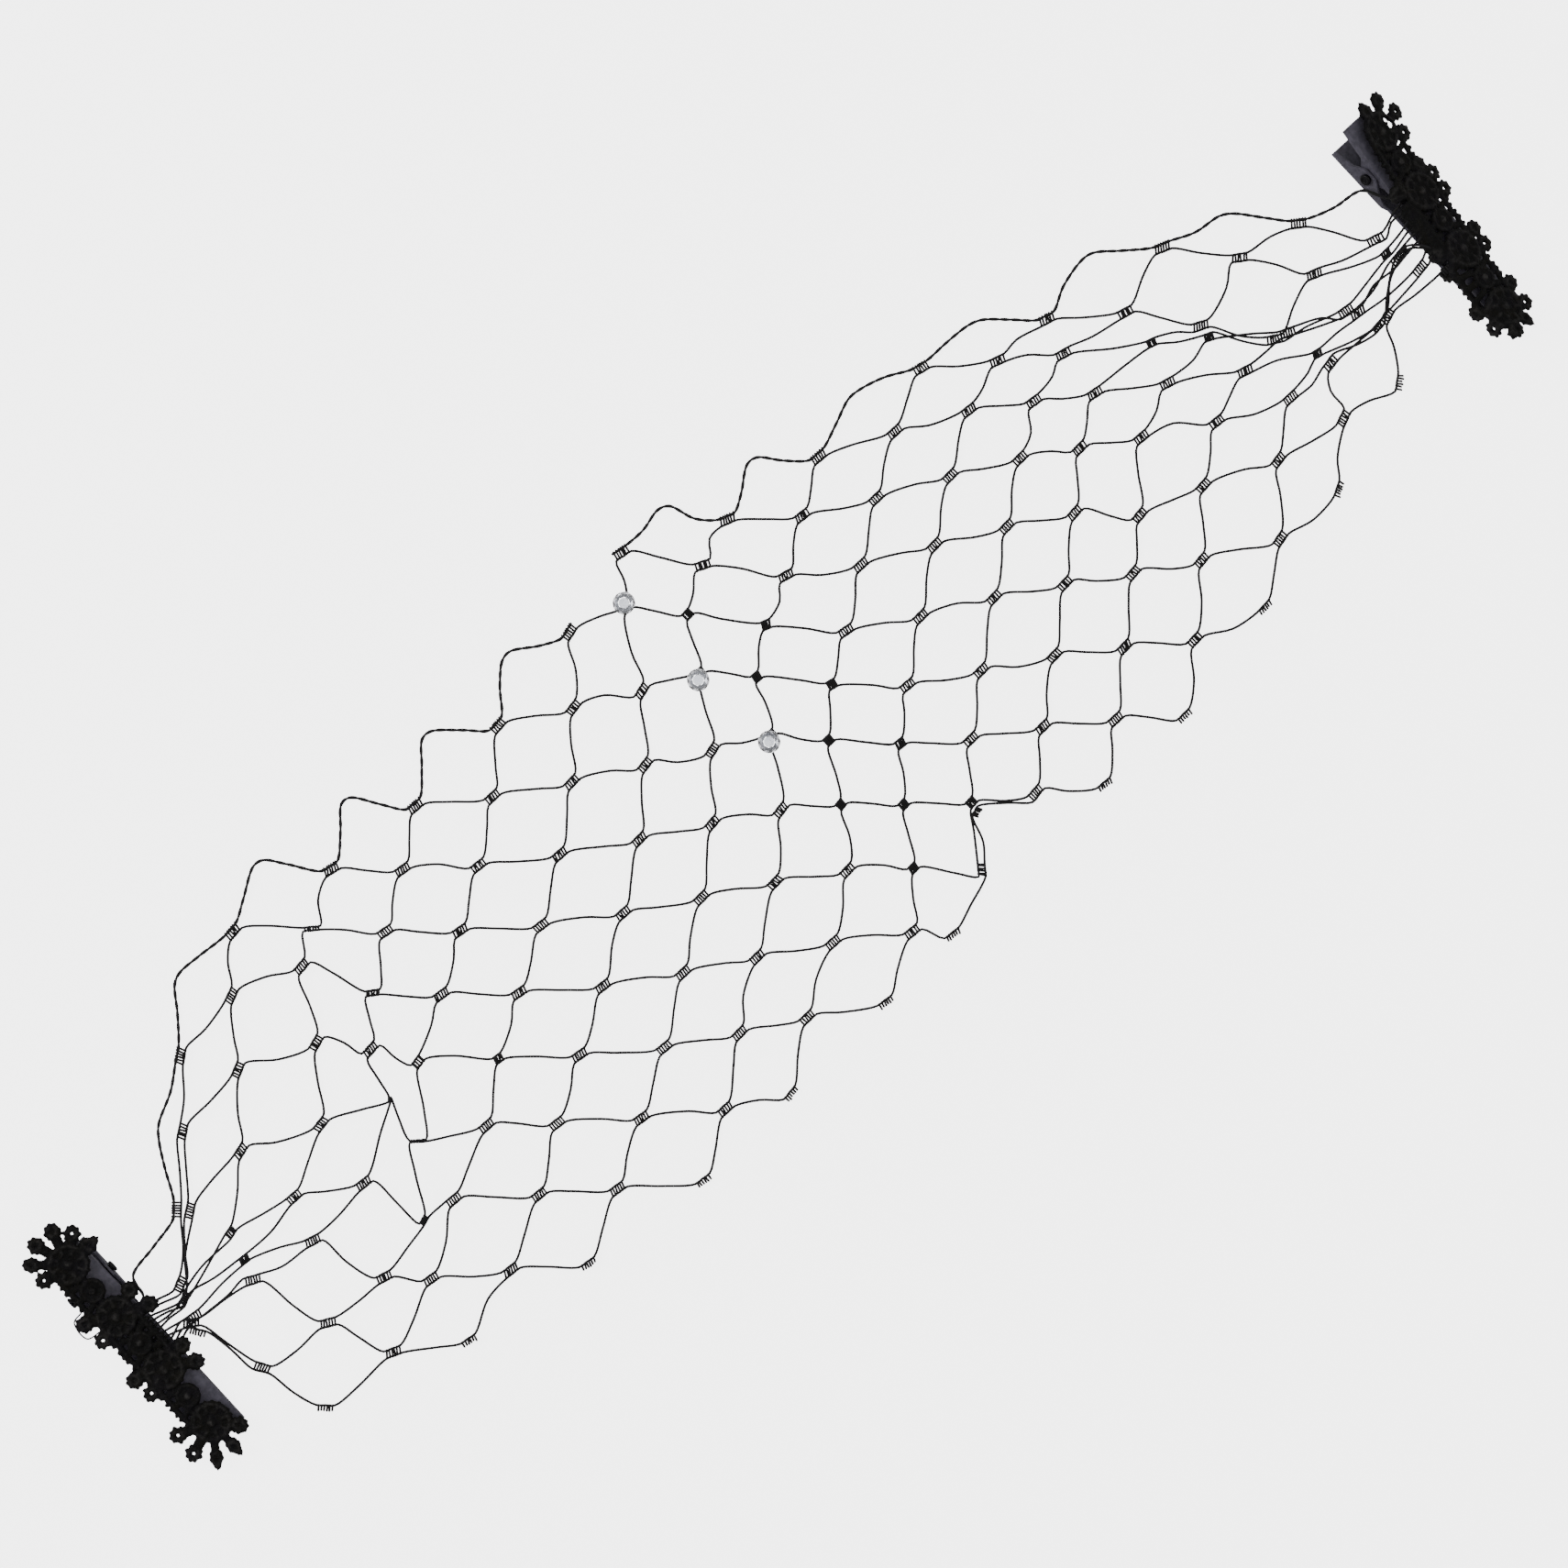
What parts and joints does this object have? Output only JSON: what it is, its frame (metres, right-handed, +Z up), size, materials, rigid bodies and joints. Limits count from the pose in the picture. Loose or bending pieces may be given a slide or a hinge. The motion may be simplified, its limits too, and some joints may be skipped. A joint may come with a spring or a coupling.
{
  "type": "birdcage veil",
  "caption": "Birdcage veil of black knotted diamond netting with clear cut rhinestones, gathered at each end into a hair clip with a lace trim.",
  "frame": {"origin": "on the surface the veil lies on, under the middle of its bounding box", "axes": "+X along the veil from clip a to clip b, +Y across it towards the selvedge, +Z up"},
  "size_m": [0.3922, 0.1188, 0.013],
  "materials": {
    "net_yarn_black": "matte nylon yarn",
    "lace_thread_black": "matte embroidery thread",
    "clip_enamel_black": "satin black enamel on stamped steel",
    "rhinestone_clear": "clear, cut and polished"
  },
  "bodies": {
    "veil": {"netting": "net_yarn_black", "rhinestone_1": "rhinestone_clear", "rhinestone_2": "rhinestone_clear", "rhinestone_3": "rhinestone_clear", "upper_lever_a": "clip_enamel_black", "hinge_pin_a": "clip_enamel_black", "lace_trim_a": "lace_thread_black", "upper_lever_b": "clip_enamel_black", "hinge_pin_b": "clip_enamel_black", "lace_trim_b": "lace_thread_black"},
    "jaw_a": {"lower_lever_a": "clip_enamel_black"},
    "jaw_b": {"lower_lever_b": "clip_enamel_black"}
  },
  "joints": [
    {"name": "clip_a_hinge", "type": "hinge", "parent": "veil", "child": "jaw_a", "pos_m": [-0.1869, 0.01209, 0.0032], "axis": [0.9996, 0.0279, 0], "range_deg": [0, 20], "stiffness_Nm_per_rad": 0.02, "springref_deg": -28.65},
    {"name": "clip_b_hinge", "type": "hinge", "parent": "veil", "child": "jaw_b", "pos_m": [0.18412, 0.01215, 0.00572], "axis": [0.8187, 0.0286, -0.5736], "range_deg": [0, 20], "stiffness_Nm_per_rad": 0.02, "springref_deg": -28.65}
  ]
}
